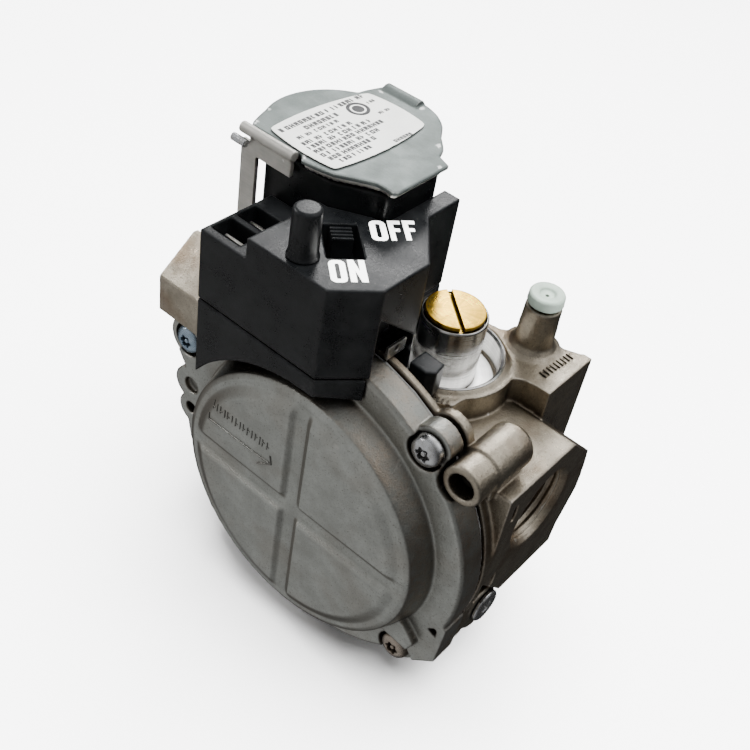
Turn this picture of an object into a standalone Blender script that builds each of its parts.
"""Combination gas control valve for a furnace, as an assembly of separate pieces.

Lengths below are in millimetres, measured from the centre of the round diaphragm cover:
+X runs with the gas from inlet to outlet, +Y runs from the cover into the body, +Z is up.
SHIFT moves that point so that the part stands centred on the origin.
"""
from math import atan2, cos, hypot, pi, radians, sin, sqrt

import bmesh
import bpy
from mathutils import Vector

MM = 0.001
GAP = 0.3
SHIFT = (4.3, -34.0, 46.0)

# Diaphragm cover
PAD_Y = 0.0
RIM_Y = 1.9
RIM_R = 36.5
DRUM_R = 38.2
FLANGE_R = 46.0
FLANGE_Y = 9.0
FLANGE_BACK_Y = 16.4
CHANNEL_W = 5.2
PAD_R = 33.6
EAR_Y = 11.7
EAR_R = 5.4
LEFT_EAR_R = 6.6
SCREW_WAY_R = 2.45
COVER_SCREWS = {
    "cover_screw_upper_right": (27.7, 36.1),
    "cover_screw_lower_right": (32.5, -31.9),
    "cover_screw_lower_left": (-31.5, -32.5),
    "cover_screw_left": (-46.0, 18.6),
}
WEDGE_Y = 6.6
WEDGE = ((30.0, -16.0), (34.7, -17.4), (38.9, -21.7), (37.4, -25.4), (29.0, -24.5))
LEFT_WEB = ((-36.0, 9.0), (-36.0, 20.5), (-44.5, 23.4), (-49.0, 13.9), (-46.0, 9.5))
LUG = ((33.0, -20.0), (35.5, -27.5), (38.6, -31.2), (44.4, -25.4), (45.2, -12.0), (38.0, -6.0))

# Body
BODY_FLANGE_Y = 17.8
BODY_FLANGE_BACK = 19.8
PORT_Y = 38.5
PORT_Z = 10.7
PORT_R = 10.4
PORT_MOUTH_R = 11.6
OUTLET_X = 46.0
INLET_X = -54.6
NECK_TOP = 26.9
NECK_BOTTOM = -14.7
NECK_FRONT = 20.2
NECK_BACK = 57.2
DECK_TOP = 33.9
BACK_Y = 68.0

# Main valve, on the axis of the cover
CHAMBER_R = 30.0
SEAT_FRONT_Y = 26.0
SEAT_Y = 36.0
SEAT_HOLE_R = 8.0
POCKET_R = 15.5
MAIN_LIFT = 4.0

# Regulator tower
TOWER = (9.1, 41.5)
TOWER_R = 8.2
TOWER_TOP = 46.2
TOWER_FOOT = 28.0
SPOT_R = 13.6
CAP_R = 7.3
CAP_TOP = 47.3
CAP_BORE_R = 6.6

# Vent tube and pressure tap
VENT = (21.7, 60.5)
VENT_TOP = 46.6
TAP = (37.9, 33.2)
TAP_FRONT = 9.9
TAP_R = 5.1
TAP_BORE_R = 3.3
SIDE_PLUG = (26.6, -17.8)

# Switch housing
HOUSE_LEFT = -33.3
HOUSE_FRONT = 0.0
HOUSE_B = (2.8, 0.0)
HOUSE_C = (10.5, 8.9)
HOUSE_D = (10.5, 23.7)
HOUSE_E = (-0.4, 37.0)
HOUSE_F = (-0.4, 48.5)
HOUSE_INNER_X = -5.0
HOUSE_BACK = 21.7
HOUSE_TOP = 69.6
HOUSE_LOW_TOP = 64.2
HOUSE_STEP_X = -19.6
HOUSE_SEAM = 45.4
ARC_FRONT_R = 40.3
POST = (-8.2, 4.8)
POST_TOP = 81.5

# Coil, plate and label
COIL = (-27.4, 38.0)
COIL_R = 17.3
COIL_TOP = 75.2
PLATE_Z = 76.9
PLATE_TOP = 78.0
PLUNGER_LIFT = 2.5

LABEL = (
    (-17.1, 24.4), (-17.1, 53.0), (-17.6, 54.2), (-18.8, 54.8), (-33.6, 54.8), (-35.0, 54.3),
    (-35.6, 53.0), (-37.6, 25.2), (-37.2, 23.9), (-36.0, 23.4), (-18.6, 22.9), (-17.5, 23.3),
)
CHAMFER_T = (0.654, 0.756)
CHAMFER_N = (-0.756, 0.654)

SLOTS = {
    "cast_aluminium": ((0.60, 0.58, 0.55), 0.45, 1.0),
    "cover_aluminium": ((0.50, 0.49, 0.47), 0.50, 1.0),
    "turned_aluminium": ((0.80, 0.80, 0.79), 0.20, 1.0),
    "cap_brass": ((0.80, 0.58, 0.20), 0.25, 1.0),
    "black_plastic": ((0.02, 0.021, 0.021), 0.38, 0.0),
    "white_plastic": ((0.72, 0.76, 0.72), 0.45, 0.0),
    "plate_steel": ((0.36, 0.39, 0.38), 0.45, 1.0),
    "label_paper": ((0.88, 0.88, 0.86), 0.60, 0.0),
    "bracket_steel": ((0.50, 0.49, 0.46), 0.40, 1.0),
    "zinc_screw": ((0.72, 0.74, 0.77), 0.22, 1.0),
    "tinned_brass": ((0.78, 0.77, 0.73), 0.30, 1.0),
    "copper_wire": ((0.72, 0.33, 0.18), 0.35, 1.0),
    "black_rubber": ((0.025, 0.025, 0.025), 0.80, 0.0),
    "spring_steel": ((0.55, 0.55, 0.55), 0.30, 1.0),
    "core_steel": ((0.55, 0.55, 0.56), 0.25, 1.0),
}


def point(x, y, z):
    """The place of a point given in millimetres from the cover's centre, in metres."""
    return Vector(((x + SHIFT[0]) * MM, (y + SHIFT[1]) * MM, (z + SHIFT[2]) * MM))


def clear_scene():
    for old in list(bpy.data.objects):
        bpy.data.objects.remove(old, do_unlink=True)


def material(slot):
    found = bpy.data.materials.get(slot)
    if found:
        return found
    colour, roughness, metallic = SLOTS[slot]
    made = bpy.data.materials.new(slot)
    made.use_nodes = True
    shader = made.node_tree.nodes["Principled BSDF"]
    shader.inputs["Base Color"].default_value = (*colour, 1.0)
    shader.inputs["Roughness"].default_value = roughness
    shader.inputs["Metallic"].default_value = metallic
    return made


def new_object(name, bm):
    """Turn a closed bmesh (in millimetres) into an object with outward faces."""
    for vert in bm.verts:
        vert.co = point(*vert.co)
    bmesh.ops.remove_doubles(bm, verts=bm.verts, dist=0.000002)
    bmesh.ops.recalc_face_normals(bm, faces=bm.faces)
    mesh = bpy.data.meshes.new(name)
    bm.to_mesh(mesh)
    bm.free()
    made = bpy.data.objects.new(name, mesh)
    bpy.context.scene.collection.objects.link(made)
    return made


def along(axis, u, v, w):
    """A point from two coordinates across an axis and one along it."""
    if axis == "x":
        return (w, u, v)
    if axis == "y":
        return (u, w, v)
    return (u, v, w)


def prism(name, outline, axis, low, high):
    """A closed outline, drawn across an axis, extruded from low to high along it."""
    bm = bmesh.new()
    first = [bm.verts.new(along(axis, u, v, low)) for u, v in outline]
    last = [bm.verts.new(along(axis, u, v, high)) for u, v in outline]
    bm.faces.new(first)
    bm.faces.new(list(reversed(last)))
    count = len(outline)
    for i in range(count):
        j = (i + 1) % count
        bm.faces.new((first[i], last[i], last[j], first[j]))
    return new_object(name, bm)


def block(name, low, high):
    outline = ((low[0], low[1]), (high[0], low[1]), (high[0], high[1]), (low[0], high[1]))
    return prism(name, outline, "z", low[2], high[2])


def turned(name, profile, axis, centre, steps=32):
    """A profile of (radius, height) points turned around an axis through centre."""
    bm = bmesh.new()
    rings = []
    for radius, height in profile:
        if radius < 1e-6:
            rings.append([bm.verts.new(along(axis, centre[0], centre[1], height))])
            continue
        ring = []
        for i in range(steps):
            turn = 2 * pi * i / steps
            u = centre[0] + radius * cos(turn)
            v = centre[1] + radius * sin(turn)
            ring.append(bm.verts.new(along(axis, u, v, height)))
        rings.append(ring)
    pairs = list(zip(rings, rings[1:]))
    if profile[0][0] > 1e-6:
        pairs.append((rings[-1], rings[0]))
    for one, two in pairs:
        for i in range(steps):
            j = (i + 1) % steps
            corners = [one[i % len(one)], one[j % len(one)], two[j % len(two)], two[i % len(two)]]
            corners = [c for k, c in enumerate(corners) if c not in corners[:k]]
            if len(corners) > 2:
                bm.faces.new(corners)
    return new_object(name, bm)


def rod(name, axis, centre, radius, low, high, steps=32):
    return turned(name, ((0, low), (radius, low), (radius, high), (0, high)), axis, centre, steps)


def arc(cx, cy, radius, start, end, steps):
    """Points of an arc between two angles in degrees."""
    turns = [radians(start + (end - start) * i / steps) for i in range(steps + 1)]
    return [(cx + radius * cos(t), cy + radius * sin(t)) for t in turns]


def chamfer_frame(t, n):
    """A plan point from distances along and behind the housing's front chamfer."""
    x = HOUSE_B[0] + t * CHAMFER_T[0] + n * CHAMFER_N[0]
    y = HOUSE_B[1] + t * CHAMFER_T[1] + n * CHAMFER_N[1]
    return (x, y)


def tidy_mesh(mesh):
    """Merge coincident points and split the faces into triangles, ready for the next cut."""
    bm = bmesh.new()
    bm.from_mesh(mesh)
    bmesh.ops.remove_doubles(bm, verts=bm.verts, dist=0.000002)
    bmesh.ops.dissolve_degenerate(bm, dist=0.000002, edges=bm.edges)
    bmesh.ops.triangulate(bm, faces=bm.faces)
    bm.to_mesh(mesh)
    bm.free()


def combine(base, tools, operation):
    """Apply one exact Boolean after another and throw the tools away."""
    for tool in tools:
        change = base.modifiers.new("shape", "BOOLEAN")
        change.operation = operation
        change.object = tool
        graph = bpy.context.evaluated_depsgraph_get()
        mesh = bpy.data.meshes.new_from_object(base.evaluated_get(graph), depsgraph=graph)
        base.modifiers.clear()
        tidy_mesh(mesh)
        base.data = mesh
        bpy.data.objects.remove(tool, do_unlink=True)
    return base


def join(base, *tools):
    return combine(base, tools, "UNION")


def cut(base, *tools):
    return combine(base, tools, "DIFFERENCE")


def finish(made, slot, origin=None):
    """Clean the mesh, shade it by angle, give it its material and put its origin in place."""
    bm = bmesh.new()
    bm.from_mesh(made.data)
    bmesh.ops.remove_doubles(bm, verts=bm.verts, dist=0.000004)
    bmesh.ops.dissolve_limit(bm, angle_limit=radians(0.5), verts=bm.verts, edges=bm.edges)
    bmesh.ops.triangulate(bm, faces=bm.faces)
    bmesh.ops.recalc_face_normals(bm, faces=bm.faces)
    bm.to_mesh(made.data)
    bm.free()
    made.data.name = made.name
    made.data.materials.clear()
    made.data.materials.append(material(slot))
    made.data.shade_smooth()
    made.data.set_sharp_from_angle(angle=radians(32))
    if origin is not None:
        place = point(*origin)
        for vert in made.data.vertices:
            vert.co = vert.co - place
        made.location = place
    return made


def coil_wire(name, axis, centre, radius, wire, low, high, turns, steps=12, sides=6):
    """A compression spring: a round wire wound around an axis, with closed flat ends."""
    bm = bmesh.new()
    count = int(turns * steps)
    rings = []
    start = low + wire
    rise = high - low - 2 * wire
    for i in range(count + 1):
        share = i / count
        turn = 2 * pi * turns * share
        eased = min(max((share * turns - 0.75) / (turns - 1.5), 0.0), 1.0)
        height = start + rise * eased
        ring = []
        for k in range(sides):
            tilt = 2 * pi * k / sides
            reach = radius + wire * cos(tilt)
            u = centre[0] + reach * cos(turn)
            v = centre[1] + reach * sin(turn)
            ring.append(bm.verts.new(along(axis, u, v, height + wire * sin(tilt))))
        rings.append(ring)
    for one, two in zip(rings, rings[1:]):
        for k in range(sides):
            j = (k + 1) % sides
            bm.faces.new((one[k], one[j], two[j], two[k]))
    bm.faces.new(rings[0])
    bm.faces.new(list(reversed(rings[-1])))
    return new_object(name, bm)


# ---------------------------------------------------------------- valve body

def inlet_outline():
    """The side outline of the inlet block, in Y and Z."""
    return (
        (7.4, 35.2), (18.0, 43.4), (19.6, 43.4), (19.6, 33.6), (53.0, 33.6), (57.0, 29.6),
        (57.0, -6.0), (50.0, -13.5), (30.0, -13.5), (24.0, -6.0), (24.0, 24.6), (7.4, 24.6),
    )


def outlet_outline():
    """The side outline of the outlet flange, in Y and Z."""
    return (
        (NECK_FRONT, NECK_TOP), (46.8, NECK_TOP), (NECK_BACK, 17.5), (59.0, 3.0),
        (54.5, -8.0), (54.0, NECK_BOTTOM), (31.0, NECK_BOTTOM), (NECK_FRONT, -3.0),
    )


def deck_outline():
    """The plan of the upper deck, which bows round the tower and runs out to the vent."""
    bow = arc(8.7, 42.6, 17.4, -38, 12, 7)
    outline = [(-40.0, 26.0), (-4.0, 24.0), (13.5, 22.7), (21.9, 27.8)]
    outline += bow
    outline += [(28.0, 48.1), (35.0, 48.8), (35.0, BACK_Y), (33.0, BACK_Y), (10.9, 59.0), (-4.0, 56.5)]
    outline += [(-40.0, 56.5)]
    return outline


def body_solids():
    """The outer shapes that the casting is made of."""
    flange = turned("flange", (
        (0, BODY_FLANGE_Y), (FLANGE_R, BODY_FLANGE_Y), (FLANGE_R, BODY_FLANGE_BACK),
        (34.6, 20.6), (33.6, 24.0), (32.4, 31.0), (29.0, 44.0), (0, 44.0),
    ), "y", (0, 0), 56)
    parts = [flange]
    for name, (x, z) in COVER_SCREWS.items():
        end = 20.4 if x > 0 and z > 0 else 25.5
        parts.append(rod(name + "_boss", "y", (x, z), EAR_R, BODY_FLANGE_Y, end, 16))
    parts.append(prism("left_web", LEFT_WEB, "y", BODY_FLANGE_Y, 21.0))
    parts.append(prism("lug_back", [(x - 0.7, z) for x, z in LUG], "y", BODY_FLANGE_Y, 21.4))
    parts.append(prism("neck", outlet_outline(), "x", 18.0, OUTLET_X))
    inlet = prism("inlet", inlet_outline(), "x", INLET_X, -34.0)
    parts.append(cut(inlet, rod("flange_room", "y", (0, 0), FLANGE_R + 0.6, 0.0, 18.2, 56)))
    parts.append(prism("deck", deck_outline(), "z", 4.0, DECK_TOP))
    parts.append(block("core", (-36.0, 30.0, -26.0), (30.0, 62.0, 10.0)))
    parts.append(rod("rear_boss", "y", (0, 0), 20.5, 55.0, BACK_Y - 0.5, 28))
    return parts


def body_bosses():
    """Tower seat, vent tube, pressure tap and side plug boss."""
    seat = turned("seat", (
        (0, 20.0), (15.4, 20.0), (15.4, DECK_TOP + 0.2), (14.7, DECK_TOP + 0.9), (0, DECK_TOP + 0.9),
    ), "z", TOWER, 36)
    vent = turned("vent", (
        (0, 30.0), (7.4, 30.0), (7.4, DECK_TOP), (5.9, DECK_TOP + 0.8), (5.2, DECK_TOP + 2.6),
        (4.55, VENT_TOP - 0.4), (4.2, VENT_TOP), (0, VENT_TOP),
    ), "z", VENT, 20)
    tap = turned("tap", (
        (0, TAP_FRONT), (TAP_R - 0.5, TAP_FRONT), (TAP_R, TAP_FRONT + 0.5), (TAP_R, 16.8),
        (5.6, 17.2), (5.6, 29.2), (4.6, 30.6), (0, 30.6),
    ), "y", TAP, 20)
    web = block("web", (33.4, 18.2, 25.0), (41.6, 29.8, 33.2))
    side = rod("side", "x", (25.6, -18.6), 6.5, 24.0, 44.6, 18)
    return [seat, vent, tap, web, side]


def body_hollows():
    """Everything that is cast or bored out of the body."""
    outlet = turned("outlet", (
        (0, 18.5), (PORT_R - 2.2, 18.5), (PORT_R - 2.2, 26.0), (PORT_R, 26.0), (PORT_R, OUTLET_X - 1.6),
        (PORT_MOUTH_R, OUTLET_X - 0.1), (PORT_MOUTH_R, OUTLET_X + 2), (0, OUTLET_X + 2),
    ), "x", (PORT_Y, PORT_Z), 32)
    inlet = turned("inlet_bore", (
        (0, INLET_X - 2), (PORT_MOUTH_R, INLET_X - 2), (PORT_MOUTH_R, INLET_X + 0.1),
        (PORT_R, INLET_X + 1.6), (PORT_R, -30.0), (PORT_R - 2.2, -30.0), (PORT_R - 2.2, -8.0), (0, -8.0),
    ), "x", (PORT_Y, PORT_Z), 32)
    axis_way = turned("axis_way", (
        (0, BODY_FLANGE_Y - 2), (CHAMBER_R, BODY_FLANGE_Y - 2), (CHAMBER_R, SEAT_FRONT_Y - 2),
        (CHAMBER_R - 2, SEAT_FRONT_Y), (SEAT_HOLE_R, SEAT_FRONT_Y), (SEAT_HOLE_R, SEAT_Y),
        (POCKET_R, SEAT_Y), (POCKET_R, BACK_Y + 2), (0, BACK_Y + 2),
    ), "y", (0, 0), 28)
    link = rod("link", "y", (23.0, PORT_Z), 5.6, SEAT_FRONT_Y - 1, PORT_Y, 16)
    spot = rod("spot", "z", TOWER, SPOT_R, TOWER_FOOT, DECK_TOP + 5, 32)
    well = rod("well", "z", TOWER, 6.9, 20.0, TOWER_FOOT + 1, 20)
    vent = rod("vent_bore", "z", VENT, 2.1, 38.0, VENT_TOP + 2, 10)
    tap = rod("tap_bore", "y", TAP, TAP_BORE_R, TAP_FRONT - 2, 24.5, 16)
    cross = rod("cross", "z", (TAP[0], 22.4), 1.1, 18.0, TAP[1], 8)
    pilot = rod("pilot", "z", COIL, 4.6, 25.0, DECK_TOP + 2, 16)
    bleed = rod("bleed", "z", COIL, 1.2, 15.0, 26.0, 8)
    return [outlet, inlet, axis_way, link, spot, well, vent, tap, cross, pilot, bleed]


def valve_body():
    parts = body_solids() + body_bosses()
    body = parts[0]
    join(body, *parts[1:])
    cut(body, *body_hollows())
    holes = []
    for name, (x, z) in COVER_SCREWS.items():
        holes.append(rod(name + "_hole", "y", (x, z), SCREW_WAY_R, BODY_FLANGE_Y - 2, 23.5, 10))
    holes.append(rod("plug_hole", "x", SIDE_PLUG, 3.4, 34.0, 46.0, 16))
    holes.append(prism("eye", eye_outline(), "y", BODY_FLANGE_Y - 2, 32.0))
    holes.append(rod("ear_eye", "y", (-43.6, -3.4), 1.9, BODY_FLANGE_Y - 2, 30.0, 10))
    holes.append(block("flange_slot_high", (OUTLET_X - 2.5, 23.2, 17.6), (OUTLET_X + 1, 25.0, 22.8)))
    holes.append(block("flange_slot_low", (OUTLET_X - 2.5, 23.4, -7.4), (OUTLET_X + 1, 25.2, -2.4)))
    cut(body, *holes)
    body.name = "valve_body"
    return finish(body, "cast_aluminium")


# ---------------------------------------------------------------- diaphragm cover

def eye_outline():
    """The small three-cornered hole in the lower right lug."""
    return ((40.2, -15.6), (42.6, -13.4), (42.9, -16.8))


def pad_outline(quarter, half, radius):
    """One quarter of the raised pad: a pie slice held back from the two channels."""
    inner = sqrt(radius ** 2 - half ** 2)
    start = atan2(half, inner)
    steps = 8
    outline = [(half, half)]
    for i in range(steps + 1):
        turn = start + (pi / 2 - 2 * start) * i / steps
        outline.append((radius * cos(turn), radius * sin(turn)))
    for _ in range(quarter):
        outline = [(-v, u) for u, v in outline]
    return outline


def sloped_pad(name, quarter):
    """A raised pad whose top is drawn in from its foot on every side."""
    bm = bmesh.new()
    half = CHANNEL_W / 2
    rows = ((RIM_Y + 1.5, half, PAD_R), (RIM_Y, half, PAD_R), (PAD_Y, half + 1.1, PAD_R - 2.6))
    rings = []
    for y, reach, radius in rows:
        rings.append([bm.verts.new((u, y, v)) for u, v in pad_outline(quarter, reach, radius)])
    bm.faces.new(rings[0])
    bm.faces.new(list(reversed(rings[-1])))
    count = len(rings[0])
    for one, two in zip(rings, rings[1:]):
        for i in range(count):
            j = (i + 1) % count
            bm.faces.new((one[i], two[i], two[j], one[j]))
    return new_object(name, bm)


def diaphragm_cover():
    cover = turned("diaphragm_cover", (
        (0, RIM_Y), (RIM_R - 1.5, RIM_Y), (RIM_R - 0.4, RIM_Y + 0.5), (RIM_R, RIM_Y + 1.5),
        (DRUM_R, FLANGE_Y), (FLANGE_R - 0.8, FLANGE_Y), (FLANGE_R, FLANGE_Y + 0.8),
        (FLANGE_R, FLANGE_BACK_Y), (34.0, FLANGE_BACK_Y), (33.0, 6.5), (31.0, 4.6), (0, 4.6),
    ), "y", (0, 0), 56)
    pieces = [sloped_pad("pad", quarter) for quarter in range(4)]
    for name, (x, z) in COVER_SCREWS.items():
        reach = LEFT_EAR_R if x < -40 else EAR_R
        pieces.append(rod(name + "_ear", "y", (x, z), reach, EAR_Y, FLANGE_BACK_Y, 18))
    pieces.append(prism("left_web", LEFT_WEB, "y", FLANGE_Y, FLANGE_BACK_Y))
    pieces.append(prism("lug", LUG, "y", FLANGE_Y, FLANGE_BACK_Y))
    pieces.append(prism("wedge", WEDGE, "y", WEDGE_Y, FLANGE_Y + 2.0))
    pieces.append(rod("upper_lobe", "y", (-44.4, 4.6), 5.3, FLANGE_Y, FLANGE_BACK_Y, 16))
    pieces.append(rod("lower_lobe", "y", (-43.2, -3.6), 4.8, FLANGE_Y, FLANGE_BACK_Y, 16))
    join(cover, *pieces)
    holes = [prism("eye", eye_outline(), "y", FLANGE_Y - 2, FLANGE_BACK_Y + 2)]
    holes.append(block("inlet_clear", (-56.0, 7.0, 24.1), (-36.0, 17.5, 30.0)))
    holes.append(rod("ear_eye", "y", (-43.6, -3.4), 1.9, FLANGE_Y - 2, FLANGE_BACK_Y + 2, 12))
    holes.append(rod("ear_ring", "y", (-43.8, 4.6), 2.4, FLANGE_Y - 2, FLANGE_Y + 1.6, 16))
    holes.append(rod("tap_notch", "y", TAP, TAP_R + 0.75, FLANGE_Y - 2, FLANGE_BACK_Y + 2, 20))
    for name, (x, z) in COVER_SCREWS.items():
        holes.append(rod(name + "_way", "y", (x, z), SCREW_WAY_R, EAR_Y - 2, FLANGE_BACK_Y + 2, 10))
        holes.append(rod(name + "_room", "y", (x, z), 4.6, FLANGE_Y - 6, EAR_Y, 16))
    cut(cover, *holes)
    cover.name = "diaphragm_cover"
    return finish(cover, "cover_aluminium")


def cover_screw(name, x, z):
    """A pan-head screw with a six-lobed socket and a pin in the middle of it."""
    top = EAR_Y - GAP
    head = turned(name, (
        (0, top - 2.9), (2.4, top - 2.9), (3.5, top - 2.3), (3.9, top - 1.2), (3.9, top),
        (2.0, top), (2.0, 22.4), (1.6, 23.0), (0, 23.0),
    ), "y", (x, z), 14)
    lobes = []
    for i in range(12):
        reach = 1.75 if i % 2 == 0 else 1.3
        lobes.append((x + reach * cos(pi * i / 6), z + reach * sin(pi * i / 6)))
    cut(head, prism("socket", lobes, "y", top - 4, top - 1.3))
    join(head, rod("pin", "y", (x, z), 0.5, top - 2.5, top - 1.0, 6))
    head.name = name
    return finish(head, "zinc_screw")


# ---------------------------------------------------------------- main valve

def diaphragm():
    """The rubber ring that is held between cover and body, with one rolled fold."""
    outer = [(FLANGE_R - 0.8, 16.7), (FLANGE_R - 0.8, 17.5), (33.0, 17.5)]
    fold_out = [(29.3 - 3.2 * cos(t), 17.2 - 2.9 * sin(t)) for t in (pi * 0.85, pi * 0.5, pi * 0.15)]
    fold_in = [(29.3 - 2.5 * cos(t), 16.6 - 2.7 * sin(t)) for t in (pi * 0.15, pi * 0.5, pi * 0.85)]
    profile = outer + fold_out + [(25.6, 17.5), (24.6, 17.5), (24.6, 16.7), (25.4, 16.7)] + fold_in + [(33.0, 16.7)]
    made = turned("diaphragm", profile, "y", (0, 0), 32)
    holes = [rod("tap_gap", "y", TAP, TAP_R + 0.9, 15.0, 19.0, 20)]
    for name, (x, z) in COVER_SCREWS.items():
        holes.append(rod(name + "_gap", "y", (x, z), SCREW_WAY_R + 0.15, 15.0, 19.0, 8))
    cut(made, *holes)
    made.name = "diaphragm"
    return finish(made, "black_rubber")


def main_valve():
    lift = (0, 17.0, 0)
    plate = turned("diaphragm_plate", (
        (1.9 + GAP, 15.6), (21.5, 15.6), (22.6, 14.4), (23.4, 14.4), (23.8, 15.0), (23.8, 17.3),
        (1.9 + GAP, 17.3),
    ), "y", (0, 0), 28)
    finish(plate, "bracket_steel", lift)
    stem = turned("valve_stem", (
        (0, 13.6), (3.2, 13.6), (3.2, 15.3), (1.9, 15.3), (1.9, 43.6), (1.4, 44.0), (0, 44.0),
    ), "y", (0, 0), 14)
    finish(stem, "bracket_steel", lift)
    seal = turned("disc_seal", (
        (1.9 + GAP, SEAT_Y + GAP), (10.6, SEAT_Y + GAP), (10.8, 38.0), (1.9 + GAP, 38.0),
    ), "y", (0, 0), 20)
    finish(seal, "black_rubber", lift)
    disc = turned("valve_disc", (
        (1.9 + GAP, 38.3), (11.4, 38.3), (11.4, 37.0), (12.0, 37.0), (12.0, 39.6), (9.4, 39.6),
        (8.8, 40.4), (4.8, 40.4), (4.2, 39.6), (1.9 + GAP, 39.6),
    ), "y", (0, 0), 20)
    finish(disc, "bracket_steel", lift)
    nut = turned("stem_nut", (
        (2.6, 39.9), (3.6, 39.9), (3.9, 40.2), (3.9, 42.4), (2.6, 42.4),
    ), "y", (0, 0), 6)
    finish(nut, "zinc_screw", lift)
    spring = coil_wire("main_spring", "y", (0, 0), 6.8, 0.55, 40.7, 57.6, 5.0, 10, 5)
    finish(spring, "spring_steel")


def rear_plug():
    """The threaded plug that closes the valve pocket and backs the main spring."""
    made = turned("rear_plug", (
        (0, 60.5), (6.0, 60.5), (6.0, 57.9), (8.4, 57.9), (8.4, 60.5), (POCKET_R - GAP, 60.5),
        (POCKET_R - GAP, 66.2), (POCKET_R - 1.2, 67.0), (0, 67.0),
    ), "y", (0, 0), 28)
    cut(made, block("slot", (-10.0, 65.2, -1.2), (10.0, 68.0, 1.2)))
    made.name = "rear_plug"
    return finish(made, "turned_aluminium")


def inlet_screen():
    """The strainer in the inlet: a rim with a hub and holes through its face."""
    made = turned("inlet_screen", (
        (0, -38.0), (PORT_R - 1.5, -38.0), (PORT_R - 1.5, -44.0), (PORT_R - GAP, -44.0),
        (PORT_R - GAP, -37.0), (0, -37.0),
    ), "x", (PORT_Y, PORT_Z), 20)
    holes = [rod("hole", "x", (PORT_Y, PORT_Z), 1.5, -40.0, -35.0, 8)]
    for count, reach in ((8, 5.4),):
        for i in range(count):
            turn = 2 * pi * i / count
            spot = (PORT_Y + reach * cos(turn), PORT_Z + reach * sin(turn))
            holes.append(rod("hole", "x", spot, 1.35, -40.0, -35.0, 6))
    cut(made, *holes)
    made.name = "inlet_screen"
    return finish(made, "bracket_steel")


# ---------------------------------------------------------------- regulator

def regulator():
    tower = turned("regulator_tower", (
        (CAP_BORE_R, TOWER_FOOT + GAP), (TOWER_R, TOWER_FOOT + GAP), (TOWER_R, TOWER_TOP - 0.3),
        (TOWER_R - 0.25, TOWER_TOP), (7.65, TOWER_TOP), (7.65, 44.2), (CAP_BORE_R, 44.2),
    ), "z", TOWER, 36)
    finish(tower, "turned_aluminium")
    seal = turned("cap_seal", (
        (6.6, 44.5), (7.1, 44.5), (7.3, 44.9), (7.1, 45.3), (6.6, 45.3),
    ), "z", TOWER, 20)
    finish(seal, "black_rubber", (*TOWER, 45.0))
    cap = turned("regulator_cap", (
        (0, 41.2), (5.9, 41.2), (6.2, 41.6), (6.2, 45.6), (CAP_R, 45.6), (CAP_R, CAP_TOP - 0.25),
        (CAP_R - 0.25, CAP_TOP), (0, CAP_TOP),
    ), "z", TOWER, 32)
    ends = [(TOWER[0] + u, TOWER[1] + v) for u, v in slot_outline(9.0, 0.75)]
    cut(cap, prism("slot", ends, "z", CAP_TOP - 1.3, CAP_TOP + 1))
    cap.name = "regulator_cap"
    finish(cap, "cap_brass", (*TOWER, 45.0))
    screw = turned("adjusting_screw", (
        (0, 35.6), (6.0, 35.6), (6.25, 36.0), (6.25, 38.0), (6.0, 38.4), (0, 38.4),
    ), "z", TOWER, 16)
    ends = [(TOWER[0] + u, TOWER[1] + v) for u, v in slot_outline(4.6, 0.7)]
    cut(screw, prism("slot", ends, "z", 37.2, 40.0))
    screw.name = "adjusting_screw"
    finish(screw, "white_plastic", (*TOWER, 37.0))
    seat = turned("spring_seat", (
        (0, 34.3), (3.6, 34.3), (3.6, 32.6), (4.1, 32.6), (4.1, 34.0), (5.9, 34.0), (5.9, 35.3), (0, 35.3),
    ), "z", TOWER, 16)
    finish(seat, "bracket_steel", (*TOWER, 35.0))
    spring = coil_wire("regulator_spring", "z", TOWER, 5.0, 0.45, 24.9, 33.7, 4.5, 9, 5)
    finish(spring, "spring_steel")
    ring = turned("regulator_diaphragm", (
        (4.7, 22.4), (6.45, 22.4), (6.45, 23.1), (4.7, 23.1),
    ), "z", TOWER, 16)
    finish(ring, "black_rubber")
    poppet = turned("regulator_poppet", (
        (0, 20.6), (1.6, 20.6), (1.9, 21.2), (1.9, 23.2), (4.2, 23.6), (5.7, 24.2), (5.7, 24.6), (0, 24.6),
    ), "z", TOWER, 16)
    finish(poppet, "turned_aluminium", (*TOWER, 23.0))


def slot_outline(half_length, half_width):
    """A screwdriver slot lying on the plan's falling diagonal."""
    turn = radians(-40)
    corners = ((-half_length, -half_width), (half_length, -half_width),
               (half_length, half_width), (-half_length, half_width))
    return [(u * cos(turn) - v * sin(turn), u * sin(turn) + v * cos(turn)) for u, v in corners]


def vent_cap():
    made = turned("vent_cap", (
        (0.9, 42.0), (1.65, 42.0), (1.65, VENT_TOP + 0.5), (4.2, VENT_TOP + 0.5), (4.55, VENT_TOP + 0.9),
        (4.55, 49.9), (4.1, 50.4), (2.1, 50.4), (1.9, 49.4), (0.9, 49.0),
    ), "z", VENT, 20)
    return finish(made, "white_plastic")


def service_plugs():
    tap = turned("tap_screw", (
        (0, 13.6), (2.5, 13.6), (2.9, 14.0), (2.9, 19.4), (1.0, 21.0), (0, 21.0),
    ), "y", TAP, 14)
    socket = arc(TAP[0], TAP[1], 1.35, 0, 300, 5)
    cut(tap, prism("socket", socket, "y", 11.0, 16.4))
    tap.name = "tap_screw"
    finish(tap, "zinc_screw", (TAP[0], 17.0, TAP[1]))
    side = turned("side_plug", (
        (0, 35.0), (3.0, 35.0), (3.0, 44.9), (4.6, 44.9), (4.6, 45.6), (4.2, 46.0), (0, 46.0),
    ), "x", SIDE_PLUG, 16)
    cut(side, prism("socket", arc(SIDE_PLUG[0], SIDE_PLUG[1], 2.0, 0, 300, 5), "x", 43.4, 48.0))
    side.name = "side_plug"
    finish(side, "zinc_screw")


# ---------------------------------------------------------------- switch housing

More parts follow.
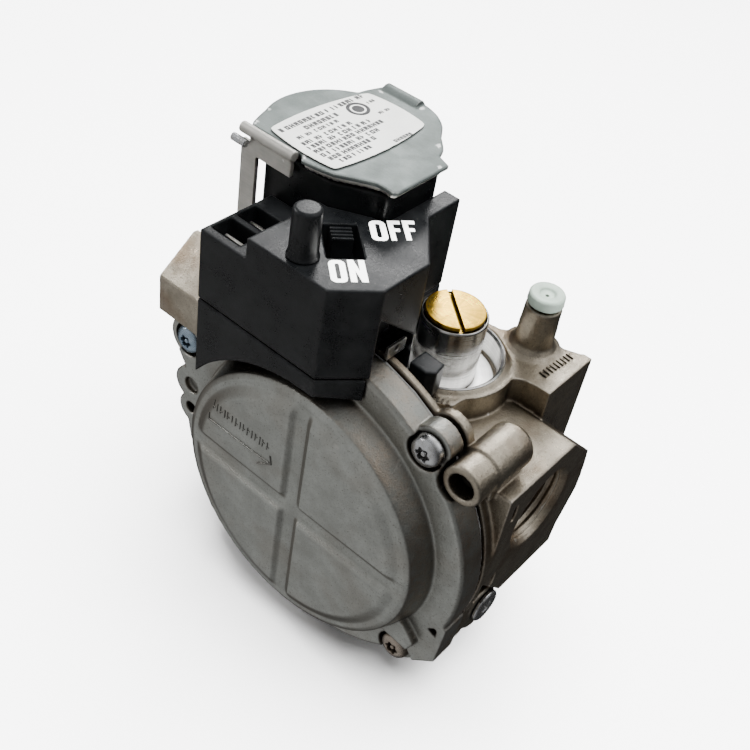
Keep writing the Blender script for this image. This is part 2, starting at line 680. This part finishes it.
def housing_plan():
    """The plan of the switch housing; it steps round the tower and beside the coil."""
    return [(HOUSE_LEFT, HOUSE_FRONT), HOUSE_B, HOUSE_C, HOUSE_D, HOUSE_E, HOUSE_F,
            (HOUSE_INNER_X, HOUSE_F[1]), (HOUSE_INNER_X, 26.9), (-8.0, 26.9), (-17.2, 22.0),
            (HOUSE_LEFT, HOUSE_BACK)]


def housing_room():
    """Cutters that let the housing sit over the cover, the flange and the screw ears."""
    front = rod("front_arc", "y", (0, 0), ARC_FRONT_R, -5.0, FLANGE_Y - GAP, 64)
    ring = rod("ring_arc", "y", (0, 0), FLANGE_R + 0.5, FLANGE_Y - GAP - 0.1, 24.0, 64)
    ear = rod("ear_room", "y", COVER_SCREWS["cover_screw_left"], EAR_R + 0.6, -5.0, 28.0, 24)
    return [front, ring, ear]


def switch_base():
    base = prism("switch_base", housing_plan(), "z", 18.0, HOUSE_SEAM - GAP / 2)
    under = block("under", (-60.0, 23.9, 10.0), (40.0, 70.0, DECK_TOP + 1.3))
    cut(base, *housing_room(), under)
    base.name = "switch_base"
    return finish(base, "black_plastic")


def switch_cover():
    cover = prism("switch_cover", housing_plan(), "z", HOUSE_SEAM + GAP / 2, HOUSE_TOP)
    step = block("step", (-40.0, -3.0, HOUSE_LOW_TOP), (HOUSE_STEP_X, 30.0, HOUSE_TOP + 2))
    notch = prism("notch", ((9.4, 61.8), (24.6, 49.2), (24.6, 40.0), (9.4, 40.0)), "x", 5.6, 12.0)
    inner = [(-18.4, 2.0), (2.0, 2.0), (4.4, 5.0), (4.4, 21.6), (-14.0, 21.6), (-18.4, 19.6)]
    room = prism("room", inner, "z", 40.0, 59.8)
    cut(cover, *housing_room(), step, notch, room)
    well = [chamfer_frame(t, n) for t, n in ((1.3, 10.9), (9.3, 10.9), (9.3, 22.9), (1.3, 22.9))]
    slit = [chamfer_frame(t, n) for t, n in ((4.2, 11.6), (6.9, 11.6), (6.9, 22.2), (4.2, 22.2))]
    pockets = [
        prism("well", well, "z", 61.6, HOUSE_TOP + 2),
        prism("slit", slit, "z", 55.0, HOUSE_TOP + 2),
        block("pocket_front", (-32.4, 2.4, 52.0), (-23.6, 8.3, HOUSE_TOP)),
        block("pocket_back", (-32.4, 9.9, 52.0), (-23.6, 15.8, HOUSE_TOP)),
        block("slot_front", (-31.6, 4.9, 40.0), (-24.5, 6.3, 53.0)),
        block("slot_back", (-31.6, 12.5, 40.0), (-24.5, 13.9, 53.0)),
        rod("post_hole", "z", POST, 2.4, 62.0, HOUSE_TOP + 2, 12),
    ]
    cut(cover, *pockets)
    cover.name = "switch_cover"
    return finish(cover, "black_plastic")


def locating_post():
    made = turned("locating_post", (
        (0, 62.4), (2.0, 62.4), (2.0, HOUSE_TOP + GAP), (3.9, HOUSE_TOP + GAP), (3.9, HOUSE_TOP + 1.0),
        (3.1, HOUSE_TOP + 1.3), (3.0, POST_TOP - 0.4), (2.6, POST_TOP), (0, POST_TOP),
    ), "z", POST, 20)
    return finish(made, "black_plastic")


def toggle_point(t, n, z):
    x, y = chamfer_frame(t, n)
    return (x, y, z)


def frame_prism(name, outline, across, low, high):
    """A side outline (distance, height) in the chamfer's frame, extruded from low to high.

    With across "t" the outline runs along n and is extruded along t; with "n" the reverse.
    """
    bm = bmesh.new()
    rings = []
    for reach in (low, high):
        ring = []
        for distance, height in outline:
            pair = (reach, distance) if across == "t" else (distance, reach)
            ring.append(bm.verts.new(toggle_point(*pair, height)))
        rings.append(ring)
    bm.faces.new(rings[0])
    bm.faces.new(list(reversed(rings[1])))
    for i in range(len(outline)):
        j = (i + 1) % len(outline)
        bm.faces.new((rings[0][i], rings[1][i], rings[1][j], rings[0][j]))
    return new_object(name, bm)


def frame_block(name, low_t, high_t, low_n, high_n, low, high):
    outline = ((low_n, low), (high_n, low), (high_n, high), (low_n, high))
    return frame_prism(name, outline, "t", low_t, high_t)


def switch_toggle():
    """The ON/OFF slide: a ribbed finger grip, a neck through the slit and a foot below."""
    side = [(17.6, 61.9), (22.4, 61.9), (22.4, 69.2)]
    for i in range(4):
        start = 22.0 - 1.25 * i
        side += [(start, 69.6), (start - 0.6, 69.6), (start - 0.8, 68.6), (start - 1.05, 68.6)]
    side = side[:-2] + [(17.6, 69.2)]
    grip = frame_prism("switch_toggle", side, "t", 3.2, 7.9)
    neck = frame_block("neck", 4.5, 6.6, 18.6, 21.8, 58.9, 62.5)
    foot = frame_block("foot", 3.4, 7.7, 18.2, 21.9, 56.8, 59.4)
    join(grip, neck, foot)
    grip.name = "switch_toggle"
    origin = toggle_point(5.5, 20.0, 62.0)
    finish(grip, "black_plastic", origin)
    strip = ((1.6, 55.0), (3.4, 55.0), (3.4, 55.9), (7.7, 55.9), (7.7, 55.0), (9.5, 55.0),
             (9.5, 56.5), (1.6, 56.5))
    bridge = frame_prism("contact_bridge", strip, "n", 19.3, 20.9)
    finish(bridge, "tinned_brass", origin)


def fixed_contacts():
    for name, t in (("contact_stud_left", 1.6), ("contact_stud_right", 7.7)):
        stud = frame_block(name, t + 0.3, t + 1.5, 12.6, 14.6, HOUSE_SEAM + 1.3, 54.7)
        finish(stud, "tinned_brass")


def blade(name, low, high, hole_axis, hole_at):
    """A flat spade blade with chamfered tip corners and its detent hole."""
    made = block(name, low, high)
    cut(made, rod("detent", hole_axis, hole_at, 0.9, -60.0, 60.0, 8))
    made.name = name
    return finish(made, "tinned_brass")


def terminals():
    blade("terminal_front", (-31.2, 5.2, 46.0), (-24.9, 6.0, 61.6), "y", (-28.05, 58.4))
    blade("terminal_back", (-31.2, 12.8, 46.0), (-24.9, 13.6, 61.6), "y", (-28.05, 58.4))
    blade("terminal_side", (8.3, 16.6, HOUSE_SEAM + 0.2), (9.1, 22.9, 49.0), "x", (19.75, 47.6))


def junction_block():
    outline = ((10.9, 23.4), (15.6, 23.2), (17.4, 24.9), (16.8, 28.8), (10.9, 29.1))
    made = prism("junction_block", outline, "z", DECK_TOP + 1.3, 42.6)
    return finish(made, "black_plastic")


# ---------------------------------------------------------------- coil

def coil_plan(grow):
    """The plan of the coil's case: round at the back and left, square beside the switch."""
    round_side = arc(COIL[0], COIL[1], COIL_R + grow, 78, 230, 14)
    front = [(-36.5 - grow, 22.5 - grow), (-17.4, 22.8 - grow), (-8.0, 27.8 - grow),
             (-6.0 + grow, 27.8 - grow), (-6.0 + grow, 46.0 + grow), (-9.6 + grow, 49.5 + grow),
             (-16.0 + grow, 54.5 + grow)]
    return round_side + front


def coil_parts():
    case = prism("coil_case", coil_plan(0.0), "z", DECK_TOP + 1.6, COIL_TOP)
    well = turned("winding_room", (
        (6.6, 40.0), (14.2, 40.0), (14.2, COIL_TOP + 2), (6.6, COIL_TOP + 2),
    ), "z", COIL, 24)
    bore = rod("bore", "z", COIL, 5.2, 20.0, 90.0, 20)
    flare = rod("flare", "z", COIL, 8.2, 20.0, 36.6, 20)
    cut(case, well, bore, flare)
    case.name = "coil_case"
    finish(case, "black_plastic")
    winding = turned("coil_winding", (
        (6.9, 40.3), (13.9, 40.3), (13.9, 73.0), (6.9, 73.0),
    ), "z", COIL, 24)
    finish(winding, "copper_wire")
    tube = turned("guide_tube", (
        (4.1, DECK_TOP + GAP), (7.8, DECK_TOP + GAP), (7.8, 36.2), (4.8, 36.2), (4.8, 72.0), (4.1, 72.0),
    ), "z", COIL, 20)
    finish(tube, "bracket_steel")
    core = turned("fixed_core", (
        (0, 60.0), (3.5, 60.0), (3.8, 60.4), (3.8, 74.6), (0, 74.6),
    ), "z", COIL, 16)
    finish(core, "core_steel")
    plunger = turned("plunger", (
        (0, 30.0), (2.6, 30.0), (3.7, 31.0), (3.7, 57.2), (2.4, 57.2), (2.4, 49.0), (0, 49.0),
    ), "z", COIL, 16)
    finish(plunger, "core_steel", (*COIL, 40.0))
    seal = turned("plunger_seal", (
        (0, 26.6), (2.0, 26.6), (2.6, 27.2), (2.6, 29.7), (0, 29.7),
    ), "z", COIL, 14)
    finish(seal, "black_rubber", (*COIL, 40.0))
    spring = coil_wire("plunger_spring", "z", COIL, 1.75, 0.3, 49.3, 59.7, 6.0, 8, 4)
    finish(spring, "spring_steel")


def plate_outline(inset):
    """The plan of the top plate: round on the left, cornered beside the switch."""
    left = arc(-27.4, 37.5, 18.8 - inset, 122, 206, 9)
    front = [(-42.4 + inset, 23.8 + inset), (-41.4 + inset, 22.3 + inset), (-27.6, 22.3 + inset), (-26.2, 22.3 + inset), (-24.6, 20.5 + inset), (-16.8, 22.1 + inset),
             (-8.6, 26.9 + inset), (-4.2 - inset, 26.9 + inset), (-3.4 - inset, 27.7 + inset)]
    right = [(-3.4 - inset, 45.5 - inset), (-7.2 - inset, 47.0), (-8.4 - inset, 50.0),
             (-12.0 - inset, 53.8), (-14.6 - inset, 57.6), (-18.8 - inset, 61.0 - inset),
             (-24.0, 62.6 - inset), (-35.0, 62.6 - inset), (-37.0, 56.0)]
    return left + front + right


def top_plates():
    plate = prism("label_plate", plate_outline(0.0), "z", PLATE_Z, PLATE_TOP)
    rear_roll = rod("rear_roll", "x", (60.9, 77.1), 2.1, -34.8, -24.2, 16)
    join(plate, rear_roll)
    plate.name = "label_plate"
    finish(plate, "plate_steel")
    strap = prism("yoke_strap", plate_outline(1.2), "z", 75.5, 76.6)
    cut(strap, block("front_room", (-50.0, 10.0, 70.0), (-26.0, 22.8, 80.0)),
        block("rear_room", (-40.0, 58.4, 70.0), (-20.0, 70.0, 80.0)))
    strap.name = "yoke_strap"
    finish(strap, "bracket_steel")
    label = prism("label", LABEL, "z", PLATE_TOP + GAP, PLATE_TOP + 0.5)
    finish(label, "label_paper")


def yoke_bracket():
    """The pressed bracket in front of the coil: curled top edge, tab, leg and foot."""
    roll = rod("yoke_bracket", "x", (20.6, 77.6), 1.3, -42.6, -26.6, 16)
    tab = block("tab", (-39.6, 20.0, 72.4), (-27.0, 21.2, 77.6))
    leg = block("leg", (-42.2, 20.0, DECK_TOP + 0.3), (-37.4, 21.2, 73.4))
    link = block("link", (-42.2, 20.0, 72.4), (-38.0, 21.2, 75.0))
    foot = block("foot", (-42.2, 20.0, DECK_TOP + 0.3), (-37.4, 28.0, DECK_TOP + 1.3))
    join(roll, tab, leg, link, foot)
    roll.name = "yoke_bracket"
    finish(roll, "bracket_steel")
    pin = rod("yoke_pin", "x", (18.6, 75.4), 0.95, -43.4, -39.2, 12)
    finish(pin, "zinc_screw")


def main():
    clear_scene()
    valve_body()
    diaphragm_cover()
    for name, (x, z) in COVER_SCREWS.items():
        cover_screw(name, x, z)
    diaphragm()
    main_valve()
    rear_plug()
    inlet_screen()
    regulator()
    vent_cap()
    service_plugs()
    switch_base()
    switch_cover()
    locating_post()
    switch_toggle()
    fixed_contacts()
    terminals()
    junction_block()
    coil_parts()
    top_plates()
    yoke_bracket()


main()
